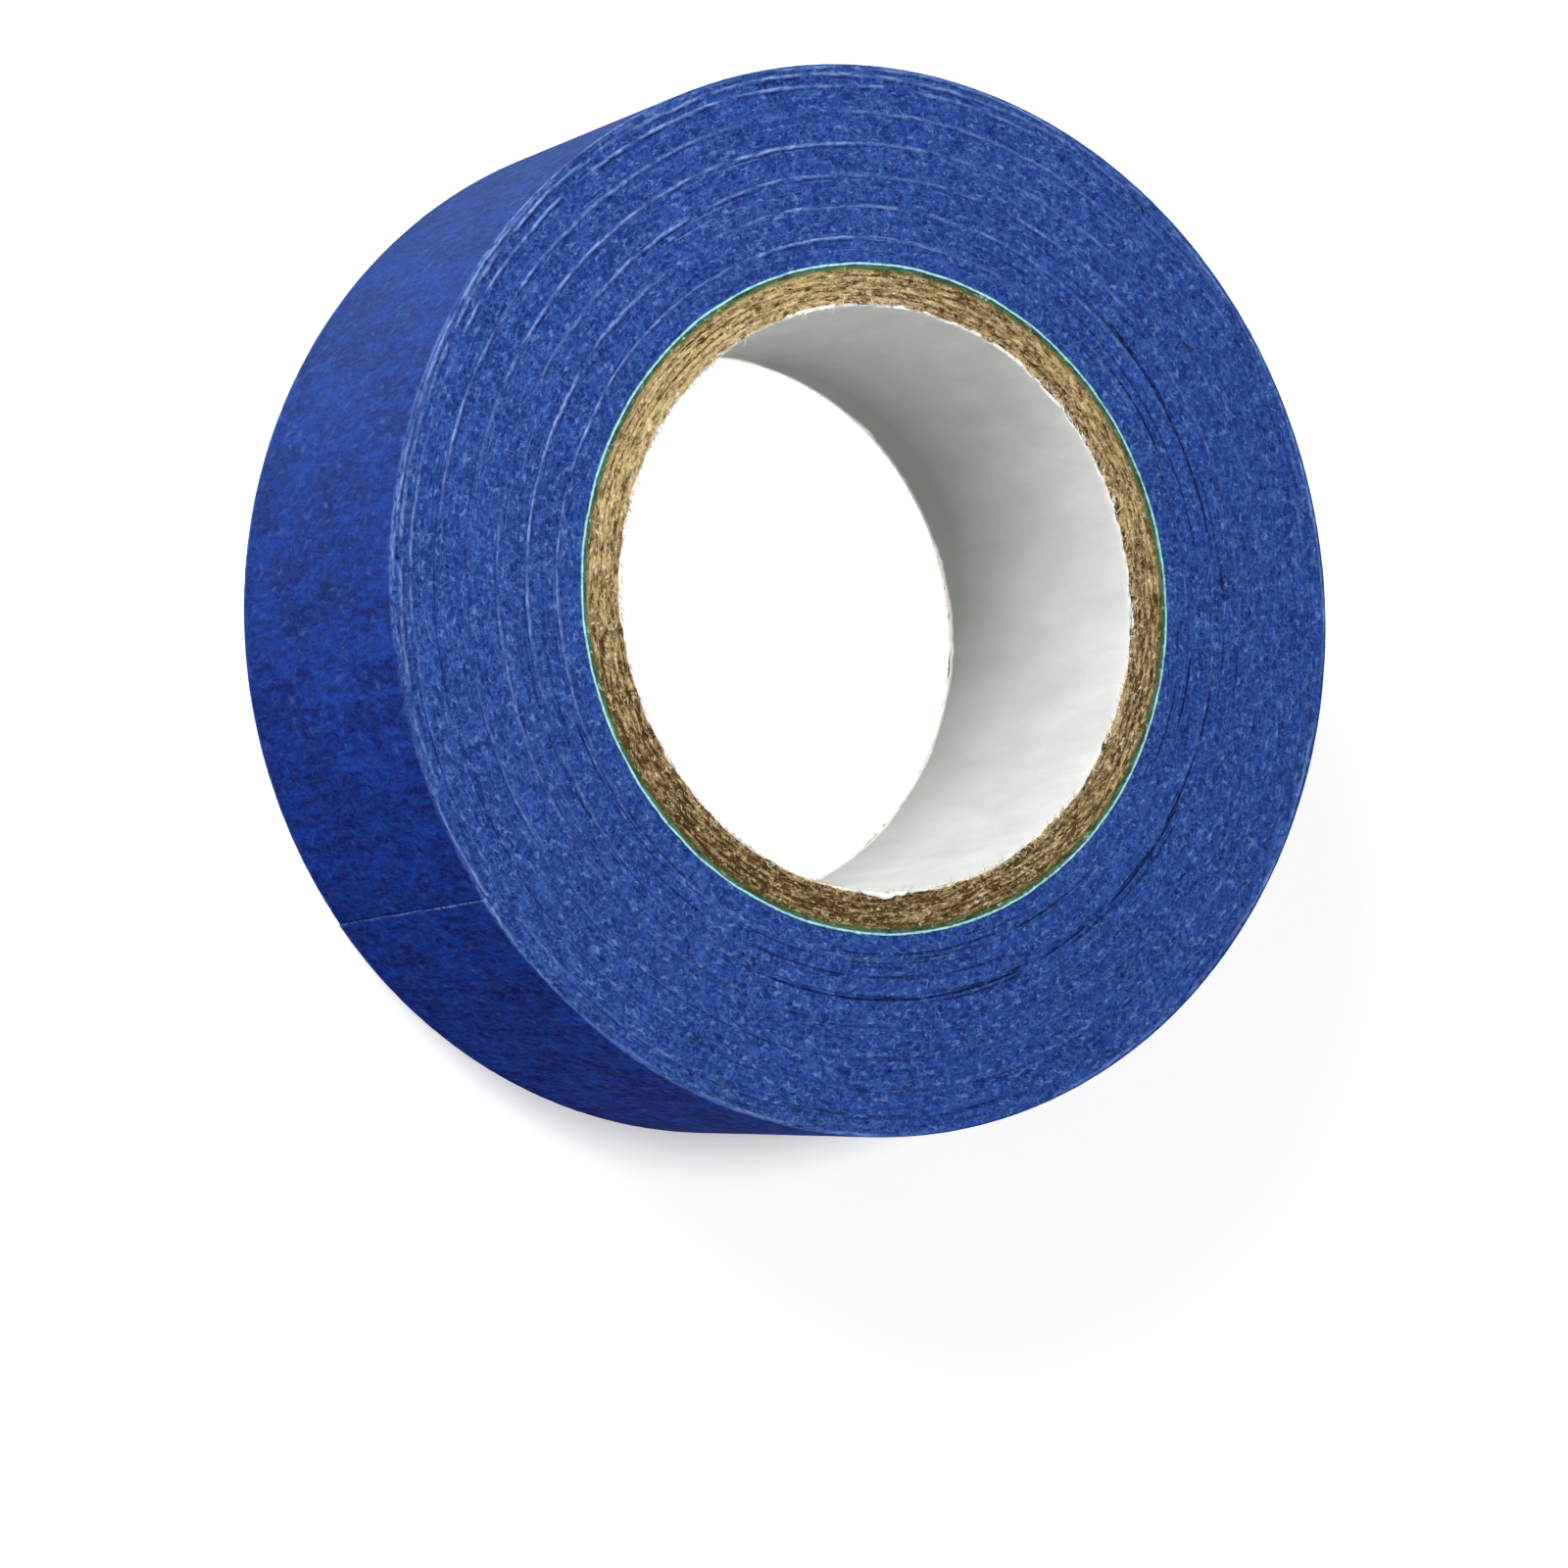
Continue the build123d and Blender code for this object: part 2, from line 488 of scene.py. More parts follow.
def floor_paint():
    """A plain pale studio floor, lit from below like a light table, and more so further out."""
    paint = Paint("floor", roughness=0.6)
    speck = paint.noise(paint.place(), 30.0, detail=2)
    paint.colour(paint.blend(speck, (0.88, 0.88, 0.88), (0.90, 0.90, 0.90)))
    paint.set_value("Emission Color", (1, 1, 1, 1))
    glow = paint.spread(paint.radius(), 250, 900, 0.35, 0.68)
    paint.feed(paint.shader.inputs["Emission Strength"], glow)
    return paint.material


# ---------------------------------------------------------------- the wound tape

EDGE_DEPTH = 0.05        # the paper's edges lie this far below the flat side, on the whole
STEP_DEPTH = 0.17        # a band's innermost turn lies up to this far below its rim
GROOVE_DEPTH = 0.03      # the groove between two turns lies this far below their edges
WALL_INSET = 0.06        # the bare wall is this far in, clear of the strip that bends over it
SECOND_RING = 0.85       # the last band has a second ring line this far inside its rim
SIDE_STEP_ANGLE = 0.5    # degrees between the sections of a band

# The two side faces. The number is added to each pattern's seed, so that the sides differ.
TOP, BOTTOM = 100, 200

# The looks change slowly round the roll, several as painted light and shade: here is where each is strongest
PAINTED_LIGHT_ANGLE = 278.0
PAINTED_SHEEN_ANGLE = 262.0
PALE_BOARD_ANGLE = 284.0
HALF_PALE_BOARD_ANGLE = 160.0
DIM_BORE_ANGLE = 195.0
DEEP_BORE_ANGLE = 150.0
STANDING_LINER_ANGLE = 215.0
WHITE_FIBRE_ANGLE = 165.0

# From this turn inwards, more of the turns get painted shade, shown as dark dashes
SHADED_FROM_TURN = 90


def spiral(radius, angle):
    """The radius at an angle, for tape that crosses +X at the given radius."""
    return radius - PITCH * angle / 360


def edge_wander(side, turn, angle):
    """How far the paper's edge stands back from the side face, as each turn wanders."""
    travel = turn * 360 + angle
    slow = noise_line(side + 11, travel / 30)
    quick = noise_line(side + 12, travel / 6)
    fleck = noise_line(side + 13, travel / 1.1, 65536)
    return 0.014 * slow + 0.014 * quick + 0.022 * fleck


def fleck_tone(side, radius, angle):
    """Light and dark flecks along the turns, from about -1 to 1."""
    along = np.radians(angle) * radius
    short = noise_plane(side + 21, along / 1.2, radius / 0.27)
    long = noise_plane(side + 22, along / 3.4, radius / 0.5)
    return 0.75 * short + 0.35 * long


def round_to_side(angle, side_angle, sharpness):
    """1 on one side of the roll, falling to 0 opposite it."""
    return (0.5 + 0.5 * np.cos(np.radians(angle - side_angle))) ** sharpness


def painted_light_side(angle):
    """How strongly painted highlight shows at an angle, from 0 to 1; painted shade shows opposite."""
    return round_to_side(angle, PAINTED_LIGHT_ANGLE, 2.6)


def painted_sheen(angle):
    """How much painted sheen, pale and greyish, the tape's face has at an angle, from 0 to 1."""
    return round_to_side(angle, PAINTED_SHEEN_ANGLE, 3.0)


def ring_line(seed, angle, radii, radius, width):
    """A beaded line of about one turn that wanders a little inwards from a radius."""
    wander = 0.2 * (1 + noise_line(seed, angle / 9)) + 0.09 * noise_line(seed + 1, angle / 2.2)
    wander = wander + 0.05 * noise_line(seed + 2, angle / 0.8)
    bead = 0.6 + 0.4 * patches(seed + 3, angle / 1.1, -0.5, 0.6)
    return bead * np.exp(-((radii - radius + wander) / width) ** 2)


def is_last_band(outer):
    """Whether a band with this outer radius is the last one, right under the outermost turn."""
    return outer > ROLL - 2 * PITCH


def ring_lines(side, outer, angle, radii):
    """Painted highlight and shade where a band's rim stands proud: pale to the light, dark away, dashed."""
    seed = side + int(outer * 7)
    pale = patches(seed + 1, angle / 2.6, -0.9, 0.3, 138)
    pale = pale * patches(seed + 2, angle / 17, -1.0, 0.2, 21)
    dashed = patches(seed + 3, angle / 2.7, 0.0, 0.35, 133)
    dashed = dashed * patches(seed + 4, angle / 13, -0.3, 0.4, 28)
    rim = ring_line(seed + 5, angle, radii, outer - 0.08, 0.19)
    behind = ring_line(seed + 5, angle, radii, outer - 0.5, 0.2)
    least = 0.55 if is_last_band(outer) else 0.1
    shine = rim * pale * (least + (1 - least) * painted_light_side(angle))
    shade = rim * dashed * (1 - painted_light_side(angle)) + behind * pale * painted_light_side(angle)
    return shine, shade


def side_depth(side, outer, inner, angle, radii):
    """How deep each row of a band's side face lies under the flat side, at each angle.

    Every band rises outwards and then drops to the next, so its outer rim shows as a step.
    """
    turn = (ROLL - radii) / PITCH
    crown = edge_wander(side, np.floor(turn), angle)
    above = edge_wander(side, np.floor(turn) - 1, angle)
    on_groove = np.isclose(turn, np.round(turn))
    wander = np.where(on_groove, (crown + above) / 2 + GROOVE_DEPTH, crown)
    height = STEP_DEPTH * (0.25 + 0.75 * patches(side + int(outer * 7), angle / 9, -0.5, 0.7, 40))
    rise = (outer - radii) / (outer - inner)
    return EDGE_DEPTH + wander + height * rise


def band_tone(side, outer, angle, radii):
    """The flecks, and the painted highlight and painted shade lines, of a band's side face."""
    shine, shade = ring_lines(side, outer, angle, radii)
    if is_last_band(outer):
        second_shine, second_shade = ring_lines(side, outer - SECOND_RING, angle, radii)
        shine, shade = np.maximum(shine, second_shine), np.maximum(shade, second_shade)
    turn = (ROLL - radii) / PITCH
    # Stray pale turns are strongest towards the key light, partly painted highlight; the dark dashes are painted
    # shade, away from it.
    stray = stray_turns(side, turn, angle) * (0.25 + 0.75 * painted_light_side(angle))
    turn_shade = shaded_turns(side, turn, angle) * (1 - painted_light_side(angle))
    tone = fleck_tone(side, radii, angle)
    return tone, np.clip(shine + stray, 0, 1), np.clip(shade + turn_shade, 0, 1)


def stray_turns(side, turn, angle):
    """Single turns that show here and there as pale dashes."""
    strength = pick(side + 31, np.floor(turn).astype(int))
    picked = np.where(strength > 0.86, 0.2 + (strength - 0.86) * 3, 0)
    travel = turn * 360 + angle
    stretches = patches(side + 32, travel / 16, 0.1, 0.7)
    return picked * stretches * patches(side + 33, travel / 2.3, -0.2, 0.5)


def shaded_turns(side, turn, angle):
    """Pairs of turns, mostly near the core, with painted shade here and there as short dark dashes."""
    number = np.floor(turn / 2).astype(int)
    strength = pick(side + 34, number)
    common = np.where((strength > 0.78) & (turn > SHADED_FROM_TURN), 0.8, 0)
    picked = common + np.where(strength > 0.93, 0.35, 0)
    travel = number * 360 + angle
    stretches = patches(side + 35, travel / 18, 0.0, 0.3)
    return picked * stretches * patches(side + 36, travel / 5, -0.5, 0.1)


def bare_wall(outer, angle, top, bottom, rows):
    """Rows down a band's outer wall, as radii and heights, crepe paper like the turn over it."""
    share = np.linspace(0, 1, rows + 2)[1:-1]
    height = bottom + (top - bottom) * share
    radius = spiral(outer, angle) + 0 * height
    if rows:
        along = np.radians(angle) * ROLL
        radius = radius - WALL_INSET + crepe_relief(along - 2 * math.pi * ROLL, height)
    return radius, height


def band_layers(made, outer, angle, radii, wall):
    """The values that a band's materials read, which are 0 on its wall."""
    upper = band_tone(TOP, outer, angle, radii)
    lower = band_tone(BOTTOM, outer, angle, radii)
    for name, above, below in zip(("tone", "shine", "shade"), upper, lower):
        add_layer(made, name, np.hstack([above, below[:, ::-1], np.zeros_like(wall)]))


def tape_band(node, inner, wall_rows):
    """One band of wound tape. The last band also shows its outer wall, where the end peels off."""
    outer = reach(node)
    half_turns = round((outer - inner) / (PITCH / 2))
    radii = outer - np.arange(half_turns + 1)[None, :] * PITCH / 2
    angle = np.arange(0, 360 + SIDE_STEP_ANGLE / 2, SIDE_STEP_ANGLE)[:, None]
    radius = spiral(radii, angle)
    top = WIDTH - side_depth(TOP, outer, inner, angle, radii)
    bottom = side_depth(BOTTOM, outer, inner, angle, radii)
    wall_radius, wall_height = bare_wall(outer, angle, top[:, :1], bottom[:, :1], wall_rows)
    heights = np.hstack([top, bottom[:, ::-1], wall_height])
    made = sweep(
        node + "_paper", angle,
        np.hstack([radius, radius[:, ::-1], wall_radius]), heights, closed=False,
    )
    band_layers(made, outer, angle, radii, wall_radius)
    # The painted sheen that the crepe shows towards the key light.
    add_layer(made, "painted_sheen", np.broadcast_to(painted_sheen(angle), heights.shape))
    add_strip_map(made, np.broadcast_to(np.radians(angle) * ROLL, heights.shape), heights)
    made.data.materials.append(SIDE)
    made.data.materials.append(CREPE)
    sections, rows = heights.shape
    paint_rows(made, sections - 1, rows, 2 * radii.shape[1] - 1, rows, 1)
    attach(made, "roll")
    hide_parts(node)


# ---------------------------------------------------------------- the outermost turn and its loose end

CREPE_HEIGHT = 0.022    # the wrinkles' relief
TIP_SKEW = 2.0          # how far the cut end stands back at one edge
TURN_GAP = 0.005        # between the outermost turn and the wall under it

# How finely the strip is divided: mm between sections, and rows across its face and its back
ALONG_STEP = 0.36
ACROSS_ROWS = 61
BACK_ROWS = 6
BARE_WALL_ROWS = 40


def crepe_relief(along, across):
    """The crepe wrinkles, in mm: ridges across the tape, a few tenths of a mm to one apart."""
    sway = 0.5 * noise_plane(41, along / 5, across / 7)
    coarse = noise_plane(42, along / 0.85 + sway, across / 5.5)
    middle = noise_plane(43, along / 1.9 + sway, across / 9)
    fine = noise_plane(44, along / 0.5 + sway, across / 3)
    return CREPE_HEIGHT * (0.55 * coarse + 0.5 * middle + 0.3 * fine)


def tip_wave(across):
    """How far the cut end stands back from +X, in mm of tape: it is torn a little askew."""
    askew = TIP_SKEW * (1 - across / WIDTH)
    return 0.12 + askew + 0.1 * noise_line(51, across / 9) + 0.05 * noise_line(52, across / 2.1)


def strip_sections(start, end, free_end=False):
    """Angles of the sections between two angles, as a column, or a grid where the end is cut."""
    count = max(2, round(math.radians(end - start) * ROLL / ALONG_STEP))
    share = np.linspace(0, 1, count + 1)[:, None]
    if not free_end:
        return start + (end - start) * share
    heights = section_rows()[1]
    first = np.degrees(tip_wave(heights) / ROLL)[None, :]
    return first + (end - first) * share


def section_rows():
    """One section of a strip: how far each row is through its thickness, and its height."""
    back = np.linspace(WIDTH, 0, BACK_ROWS)
    face = np.linspace(0, WIDTH, ACROSS_ROWS)
    depth = np.concatenate([[0.5], np.ones(BACK_ROWS), [0.5], np.zeros(ACROSS_ROWS)])
    height = np.concatenate([[WIDTH], back, [0], face])
    return depth, height


def strip_piece(name, start, end, under, thickness, material, free_end=False):
    """A stretch of the outermost turn, this deep under its face, with its crepe wrinkles."""
    depth, height = section_rows()
    angle = strip_sections(start, end, free_end)
    grid = np.broadcast_to(angle, (len(angle), len(depth)))
    along = np.radians(grid) * ROLL
    relief = crepe_relief(along, np.broadcast_to(height, grid.shape))
    keep = 1 - under / PITCH
    radius = spiral(ROLL, grid) - under - thickness * depth + relief * keep - CREPE_HEIGHT
    lift = np.exp(-(along - tip_wave(height)) / 0.5) * 0.05 if free_end else 0.0
    radius = radius + lift * (0.5 + 0.5 * noise_line(53, height / 3))
    top_edge = EDGE_DEPTH + edge_wander(TOP, 0, grid)
    low_edge = EDGE_DEPTH + edge_wander(BOTTOM, 0, grid)
    share = height / WIDTH
    raised = height - top_edge * share ** 8 + low_edge * (1 - share) ** 8
    made = sweep(name, angle, radius, raised, closed=False)
    add_strip_map(made, along, np.broadcast_to(height, grid.shape))
    add_layer(made, "tone", np.clip(relief / CREPE_HEIGHT, -1, 1))
    # The painted sheen that the crepe shows towards the key light.
    add_layer(made, "painted_sheen", painted_sheen(grid))
    add_layer(made, "shine", strip_shine(grid, along, depth, height))
    made.data.materials.append(material)
    return made


def strip_shine(grid, along, depth, height):
    """The tape's pale cut end and paler side edges: pale paper, and painted highlight towards the key light."""
    cut = np.clip(1 - (along - tip_wave(height)) / 0.3, 0, 1)
    cut = cut * (0.45 + 0.55 * patches(54, height / 4, -0.6, 0.5))
    edge = np.exp(-np.minimum(height, WIDTH - height) / 0.12)
    edge = edge * (0.2 + 0.6 * patches(55, grid / 5, -0.5, 0.5, 72)) * (0.3 + 0.7 * painted_light_side(grid))
    return np.clip(cut + edge, 0, 1) + 0 * depth


def outermost_turn():
    """The turn that stays on the roll, from the middle of the loose end's first bend."""
    start = FLAP_ANGLE + SEGMENT / 2
    made = strip_piece("tape_last_turn_paper", start, 360, 0, PITCH - TURN_GAP, CREPE)
    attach(made, "roll")
    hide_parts("tape_last_turn")


def loose_layer(stem, nodes, under, thickness, material):
    """One layer of the loose end: a piece over each hinge, and one at the tip."""
    for number, node in enumerate(nodes, 1):
        hinge = FLAP_ANGLE - SEGMENT * (number - 1)
        made = strip_piece(
            f"{stem}_bend_{number}", hinge - SEGMENT / 2, hinge + SEGMENT / 2,
            under, thickness, material,
        )
        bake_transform(made)
        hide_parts(node)
    tip = strip_piece(
        f"{stem}_tip", 0, SEGMENT / 2, under, thickness, material, free_end=True,
    )
    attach(tip, FLAP_BODIES[-1])
    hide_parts(nodes[-1])


# ---------------------------------------------------------------- the core

CORE_SECTIONS = 900
FLAKE_ANGLE, FLAKE_SPAN = 54.5, 11.0    # the scrap of liner that is folded out over the board
LAP_ANGLE = 330.0                       # the liner's helical lap, half way down the bore


def no_gaps(side, radii, angle):
    """No dark lines, for the plies that have none."""
    return 0 * radii + 0 * angle


def ring_piece(
    name, inner, outer, row_width, depth_at, tone_at,
    shade_at=no_gaps, wall_rows=0, wall_relief=None, edge_at=None,
):
    """A ring of the core: two cut edges with relief, and rows down the bore if asked."""
    count = max(2, round((outer - inner) / row_width))
    radii = np.linspace(outer, inner, count + 1)[None, :]
    angle = np.arange(CORE_SECTIONS)[:, None] * 360 / CORE_SECTIONS
    top = WIDTH - depth_at(TOP, radii, angle)
    bottom = depth_at(BOTTOM, radii, angle)
    share = np.linspace(0, 1, wall_rows + 2)[1:-1][None, :]
    wall = top[:, -1:] + (bottom[:, -1:] - top[:, -1:]) * share
    flat_radii = radii + 0 * angle
    if edge_at:
        flat_radii[:, -1:] -= edge_at(angle)
    wall_radius = inner + 0 * wall
    if wall_relief:
        wall_radius = wall_radius + wall_relief(angle, wall)
    height = np.hstack([top, wall, bottom[:, ::-1]])
    radius = np.hstack([flat_radii, wall_radius, flat_radii[:, ::-1]])
    made = sweep(name, angle, radius, height, closed=True)
    for layer, value_at in (("tone", tone_at), ("shade", shade_at)):
        upper, lower = value_at(TOP, radii, angle), value_at(BOTTOM, radii, angle)
        add_layer(made, layer, np.hstack([upper, wall_shade(angle, wall), lower[:, ::-1]]))
    return made


def wall_shade(angle, height):
    """The painted shade on the bore's paper: more on one side of it, and further down."""
    deep = np.clip(1 - height / WIDTH, 0, 1)
    side = round_to_side(angle, DIM_BORE_ANGLE, 2.0) * (0.09 + 0.42 * deep)
    return side + deep * (0.46 + 0.22 * round_to_side(angle, DEEP_BORE_ANGLE, 1))


def round_noise(seed, angle, across, count):
    """Soft random values that close on themselves after a full turn."""
    return noise_plane(seed, angle / 360 * count, across, period=count)


def from_gap(radii):
    """How far each row is from the nearest gap between plies, as a share of the ply."""
    within = (radii - radii.min()) / (radii.max() - radii.min())
    on_bore = radii.min() < LINER + 0.01
    return 1 - within if on_bore else np.minimum(within, 1 - within)


def kraft_depth(side, radii, angle):
    """The board's cut edge, torn between its plies and rough all over."""
    rough = round_noise(side + 61, angle, radii / 0.22, 260)
    torn = round_noise(side + 62, angle, radii / 0.8, 90)
    gap = np.exp(-from_gap(radii) / 0.09)
    gap = gap * (0.4 + 0.6 * round_noise(side + 63 + int(radii.max()), angle, radii * 0, 70))
    return 0.12 + 0.045 * rough + 0.05 * torn + 0.1 * gap


def kraft_tone(side, radii, angle):
    """Pale and dark flecks along the board, painted paler towards the key light, and a little paler round another
    side.
    """
    fleck = round_noise(side + 64, angle, radii / 0.2, 300)
    slow = round_noise(side + 65, angle, radii / 0.45, 110)
    paler = round_to_side(angle, PALE_BOARD_ANGLE, 5)
    paler = paler + 0.5 * round_to_side(angle, HALF_PALE_BOARD_ANGLE, 2)
    return 0.5 * fleck + 0.4 * slow + paler - 0.5


def ply_gaps(side, radii, angle):
    """Where two plies have come apart: a dark line for part of the way round."""
    gap = np.exp(-from_gap(radii) / 0.16)
    apart = round_noise(side + 66 + int(radii.max()), angle, radii * 0, 20)
    return gap * np.clip(0.45 + 1.3 * apart, 0, 1)


def frayed_bore(angle):
    """How far the innermost ply's torn edge hangs over the bore's liner, in mm."""
    coarse = np.maximum(round_noise(67, angle, 0 * angle, 110), 0)
    return 0.02 + 0.26 * coarse + 0.1 * np.abs(round_noise(68, angle, 0 * angle, 420))


def kraft_plies():
    """The board's plies, from the liner outwards."""
    inner = LINER
    for node in PLIES:
        outer = reach(node)
        made = ring_piece(
            node + "_board", inner, outer, 0.13, kraft_depth, kraft_tone, ply_gaps,
            edge_at=frayed_bore if node == PLIES[0] else None,
        )
        made.data.materials.append(KRAFT_BOARD)
        finish_core_piece(made, node)
        inner = outer


def green_depth(side, radii, angle):
    """The green ply's edge, a little below the board's."""
    return 0.2 + 0.06 * round_noise(side + 71, angle, radii / 0.2, 240)


def teal_depth(side, radii, angle):
    """The teal wrap's edge, about level with the tape and slightly uneven."""
    slow = round_noise(side + 72, angle, radii * 0, 60)
    quick = round_noise(side + 73, angle, radii / 0.15, 300)
    return 0.03 + 0.03 * quick + 0.03 * np.maximum(slow, 0)


def plain_tone(side, radii, angle):
    """Light and dark flecks."""
    return round_noise(side + 74, angle, radii / 0.3, 200)


def teal_tone(side, radii, angle):
    """Bright along the middle of the wrap and dark at both sides of it."""
    middle = (GREEN + CORE) / 2 + 0.06 * round_noise(side + 75, angle, radii * 0, 90)
    return 1.9 * np.exp(-((radii - middle) / 0.15) ** 2) - 1 + 0.3 * plain_tone(side, radii, angle)


def dyed_plies():
    """The green ply and the teal wrap, just inside the tape."""
    green = ring_piece("core_green_ply_paper", KRAFT, GREEN, 0.11, green_depth, plain_tone)
    green.data.materials.append(dyed_paint("core_green", srgb(16, 44, 30), srgb(70, 104, 70), 0.5))
    finish_core_piece(green, "core_green_ply")
    teal = ring_piece("core_teal_wrap_paper", GREEN, CORE, 0.05, teal_depth, teal_tone)
    teal.data.materials.append(dyed_paint("core_teal", srgb(10, 62, 84), srgb(158, 216, 218), 0.8))
    finish_core_piece(teal, "core_teal_wrap")


def liner_depth(side, radii, angle):
    """The liner's torn edge, which stands up in some places and is worn away in others."""
    tear = round_noise(side + 81, angle, radii * 0, 240)
    worn = round_noise(side + 82, angle, radii * 0, 44)
    standing = 0.45 * round_to_side(angle, STANDING_LINER_ANGLE, 5)
    return np.clip(0.62 + 0.22 * tear + 0.5 * worn - standing, 0.05, 1.1)


def liner_relief(angle, height):
    """The liner's soft ripples and the helical lap where its edges meet."""
    ripple = 0.03 * round_noise(83, angle, height / 11, 22)
    burr = np.clip(round_noise(84, angle, height / 0.7, 90), 0, 1) * np.exp((height - WIDTH) / 0.9)
    ripple = ripple - 0.3 * burr
    lap = (angle - LAP_ANGLE + (height - WIDTH / 2) * 0.9 + 180) % 360 - 180
    return ripple - 0.07 * np.clip(1 - np.abs(lap) / 0.5, 0, 1) - 0.05 * (lap > 0) * (lap < 40)


def bore_liner():
    """The white paper in the bore, with its torn edge."""
    made = ring_piece(
        "core_liner_paper", BORE, LINER, 0.15, liner_depth, plain_tone,
        wall_rows=44, wall_relief=liner_relief,
    )
    made.data.materials.append(LINER_PAPER)
    finish_core_piece(made, "core_liner")


def torn_flake():
    """A scrap of the liner, torn loose and folded out over the board's edge."""
    share = np.linspace(0, 1, 29)[:, None]
    across = np.linspace(0, 1, 7)[None, :]
    ragged = 1 + 0.5 * noise_line(85, share * 8)
    radius = BORE + 0.04 + 0.62 * ragged * (0.12 + np.sin(math.pi * share) ** 0.4) * across
    height = WIDTH - 0.12 + 0.34 * np.sin(math.pi * across * 0.75) + 0.06 * noise_line(86, share * 7)
    made = sweep(
        "core_liner_flake", FLAKE_ANGLE + FLAKE_SPAN * (share - 0.5),
        np.hstack([radius[:, ::-1], radius]),
        np.hstack([height[:, ::-1], height - 0.07]), closed=False,
    )
    add_layer(made, "shade", np.zeros(len(made.data.vertices)))
    made.data.materials.append(LINER_PAPER)
    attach(made, "roll")


def finish_core_piece(made, node):
    """Puts a piece of the core on the roll, in a node's place."""
    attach(made, "roll")
    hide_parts(node)


# ---------------------------------------------------------------- loose paper fibres

FIBRE_JOINTS = 5    # rings of points along one fibre
FIBRE_SIDES = 3     # points round each of them


def white_share(angle, at_edge):
    """The share of the fibres that are white, which is patchy along the bore."""
    if not at_edge:
        return 0.1
    patch = patches(93, angle / 8, -0.2, 0.5, 45)
    return 0.12 + 0.75 * patch * round_to_side(angle, WHITE_FIBRE_ANGLE, 0.6)


def fibre_height(side, lift):
    """A height this far out of one side of the roll, held clear of what the roll lies on."""
    height = WIDTH + lift if side == TOP else -lift
    return min(max(height, 0.02), WIDTH - 0.02 + 0.25 * (side == TOP))


def fibre_points(side, spot, way, length, curl, rise, thick):
    """Rings of points along one fibre, which curls, tapers and stands up from the board."""
    points = []
    for joint in range(FIBRE_JOINTS):
        share = joint / (FIBRE_JOINTS - 1)
        height = fibre_height(side, -0.1 + rise * math.sin(share * math.pi * 0.6))
        here = thick * (1 - 0.8 * share)
        normal = np.array([-math.sin(way), math.cos(way)])
        for corner in range(FIBRE_SIDES):
            turned = 2 * math.pi * corner / FIBRE_SIDES
            out = normal * math.cos(turned) * here
            points.append([spot[0] + out[0], spot[1] + out[1], height + math.sin(turned) * here])
        spot = spot + length / (FIBRE_JOINTS - 1) * np.array([math.cos(way), math.sin(way)])
        way += math.radians(curl) / (FIBRE_JOINTS - 1)
    return points


def fibre_faces(base):
    """The sides and the two ends of the fibre whose points start at this number."""
    faces = []
    for joint in range(FIBRE_JOINTS - 1):
        first = base + joint * FIBRE_SIDES
        for corner in range(FIBRE_SIDES):
            low = first + corner
            beside = first + (corner + 1) % FIBRE_SIDES
            faces.append([low, beside, beside + FIBRE_SIDES, low + FIBRE_SIDES])
    last = base + (FIBRE_JOINTS - 1) * FIBRE_SIDES
    faces.append([base + corner for corner in reversed(range(FIBRE_SIDES))])
    faces.append([last + corner for corner in range(FIBRE_SIDES)])
    return faces


def fibres(name, side, count, seed):
    """Torn fibres on the board's cut edge, thickest along the bore."""
    random = np.random.default_rng(seed)
    points, faces, tones = [], [], []
    for _ in range(count):
        at = random.uniform(0, 360)
        across = BORE + 0.05 + (KRAFT - BORE) * random.beta(0.4, 3.6)
        at_edge = across < LINER + 0.15
        length = random.uniform(0.4, 1.3)
        heading = random.normal(90, 42 if at_edge else 16)
        curl = random.normal(0, 50)
        rise = random.uniform(0.0, 0.3 if at_edge else 0.12) * length
        thick = random.uniform(0.02, 0.04) * (1 + 0.8 * at_edge)
        white = random.uniform(0, 1) < white_share(at, at_edge)
        turned = math.radians(at)
        spot = np.array([across * math.cos(turned), across * math.sin(turned)])
        faces += fibre_faces(len(points))
        points += fibre_points(side, spot, math.radians(at + heading), length, curl, rise, thick)
        tones += [float(white)] * (FIBRE_JOINTS * FIBRE_SIDES)
    made = make_object(name, np.array(points), faces)
    add_layer(made, "tone", np.array(tones))
    made.data.materials.append(FIBRE)
    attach(made, "roll")


# ---------------------------------------------------------------- floor, light and camera

# In metres. The picture's upward way is nearly level, so the roll looks as if it stood on its
# edge, although it lies flat.
CAMERA_PLACE = Vector((0.2737, -0.1176, 0.5548))
CAMERA_AIM = Vector((0.0225, 0.0136, 0.0402))
PICTURE_UP = Vector((-0.5322, -0.8418, 0.0898))
LENS = 104.0

LIT_POINT = (0, 0, 0.03)    # in metres too, as is the floor's half width
FLOOR_HALF = 3.0


def aimed(place, target, upward):
    """A placement looking from one point at another, with the given way up."""
    back = (place - target).normalized()
    right = upward.cross(back).normalized()
    turned = Matrix((right, back.cross(right), back)).transposed().to_4x4()
    return Matrix.Translation(place) @ turned


def add_camera():
    """The camera that the scene is seen through."""
    data = bpy.data.cameras.new("camera")
    data.lens = LENS
    data.clip_start, data.clip_end = 0.01, 20
    camera = bpy.data.objects.new("camera", data)
    camera.matrix_world = aimed(CAMERA_PLACE, CAMERA_AIM, PICTURE_UP)
    bpy.context.scene.collection.objects.link(camera)
    bpy.context.scene.camera = camera


def add_area_light(name, place, size, power):
    """A soft round lamp that shines at the roll."""
    data = bpy.data.lights.new(name, "AREA")
    data.shape = "DISK"
    data.size = size
    data.energy = power
    light = bpy.data.objects.new(name, data)
    light.matrix_world = aimed(Vector(place), Vector(LIT_POINT), Vector((0, 0.01, 1)))
    bpy.context.scene.collection.objects.link(light)


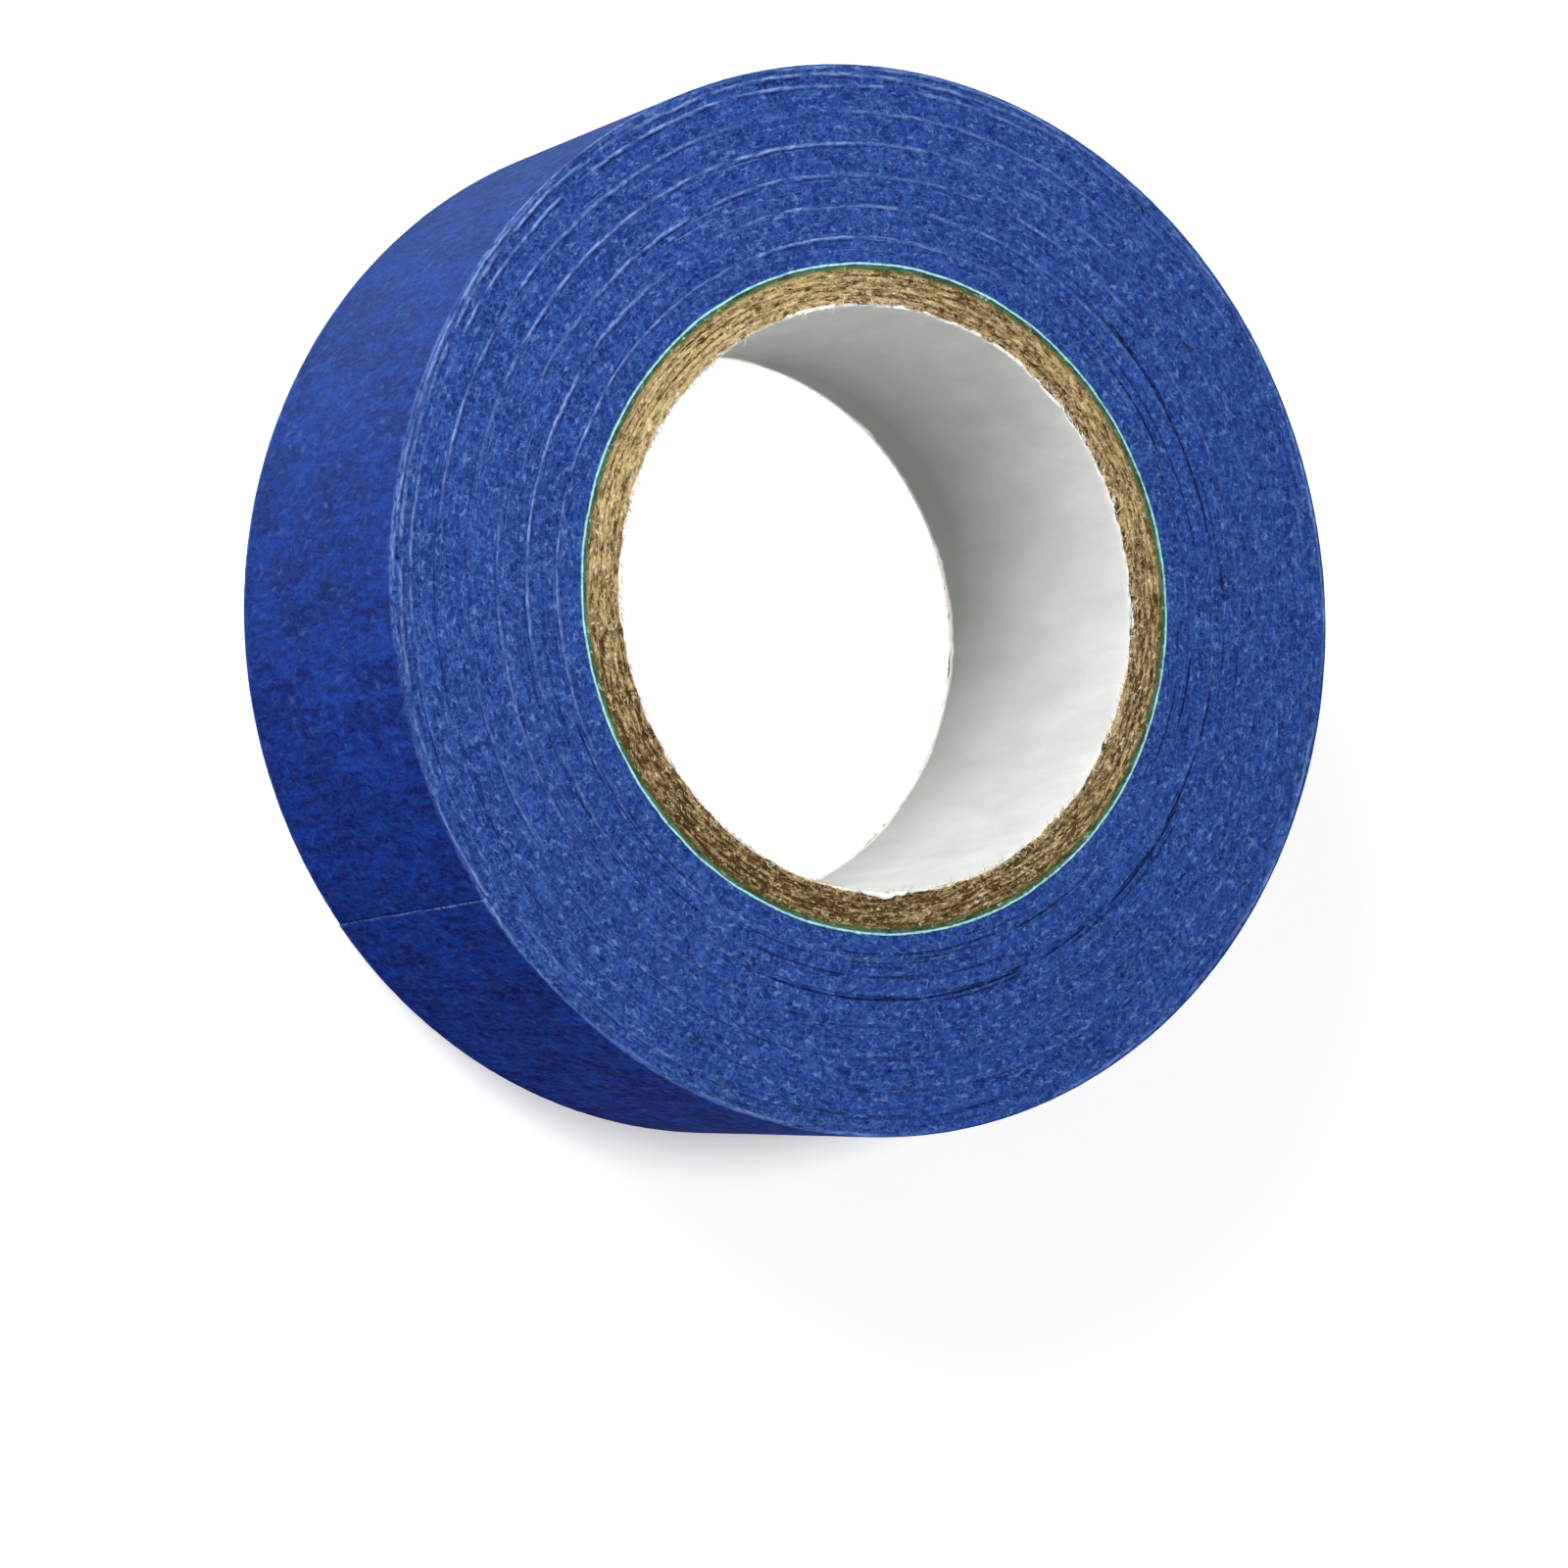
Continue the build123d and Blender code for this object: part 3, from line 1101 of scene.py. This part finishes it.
def add_lights():
    """A key light low on one side, and a second light high above."""
    add_area_light("key_light", (0.1, -0.375, 0.32), 0.28, 2.1)
    add_area_light("top_light", (0.06, -0.03, 1.2), 0.25, 8.5)


def add_backdrop():
    """A pale surround, brightest where it meets the floor and dim overhead."""
    world = bpy.data.worlds.new("studio")
    world.use_nodes = True
    nodes, links = world.node_tree.nodes, world.node_tree.links
    split = nodes.new("ShaderNodeSeparateXYZ")
    fade = nodes.new("ShaderNodeMapRange")
    links.new(nodes.new("ShaderNodeTexCoord").outputs["Generated"], split.inputs["Vector"])
    links.new(split.outputs["Z"], fade.inputs["Value"])
    fade.inputs["From Max"].default_value = 0.3
    fade.inputs["To Min"].default_value = 0.95
    fade.inputs["To Max"].default_value = 0.1
    links.new(fade.outputs["Result"], nodes["Background"].inputs["Strength"])
    nodes["Background"].inputs["Color"].default_value = (1, 1, 1, 1)
    bpy.context.scene.world = world


def add_floor():
    """A wide flat floor under the roll, which isn't part of the object."""
    floor_mesh = bpy.data.meshes.new("floor")
    signs = ((-1, -1), (1, -1), (1, 1), (-1, 1))
    corners = [(x * FLOOR_HALF, y * FLOOR_HALF, 0) for x, y in signs]
    floor_mesh.from_pydata(corners, [], [(0, 1, 2, 3)])
    floor = bpy.data.objects.new("floor", floor_mesh)
    floor_mesh.materials.append(floor_paint())
    bpy.context.scene.collection.objects.link(floor)


# ---------------------------------------------------------------- making the roll

add_camera()
add_floor()
add_lights()
add_backdrop()
bpy.context.scene.view_settings.view_transform = "Standard"

SIDE = tape_side_paint()
CREPE = crepe_paint()
STICKY = adhesive_paint()
KRAFT_BOARD = kraft_paint()
LINER_PAPER = liner_paint()
FIBRE = fibre_paint()

inner_radius = CORE
for band in BANDS:
    tape_band(band, inner_radius, wall_rows=BARE_WALL_ROWS if band == BANDS[-1] else 0)
    inner_radius = reach(band)
outermost_turn()
loose_layer("flap_backing", BACKINGS, 0, BACKING, CREPE)
loose_layer("flap_adhesive", ADHESIVES, BACKING, ADHESIVE, STICKY)
kraft_plies()
dyed_plies()
bore_liner()
torn_flake()
fibres("core_fibres_upper", TOP, 1500, 91)
fibres("core_fibres_lower", BOTTOM, 600, 92)
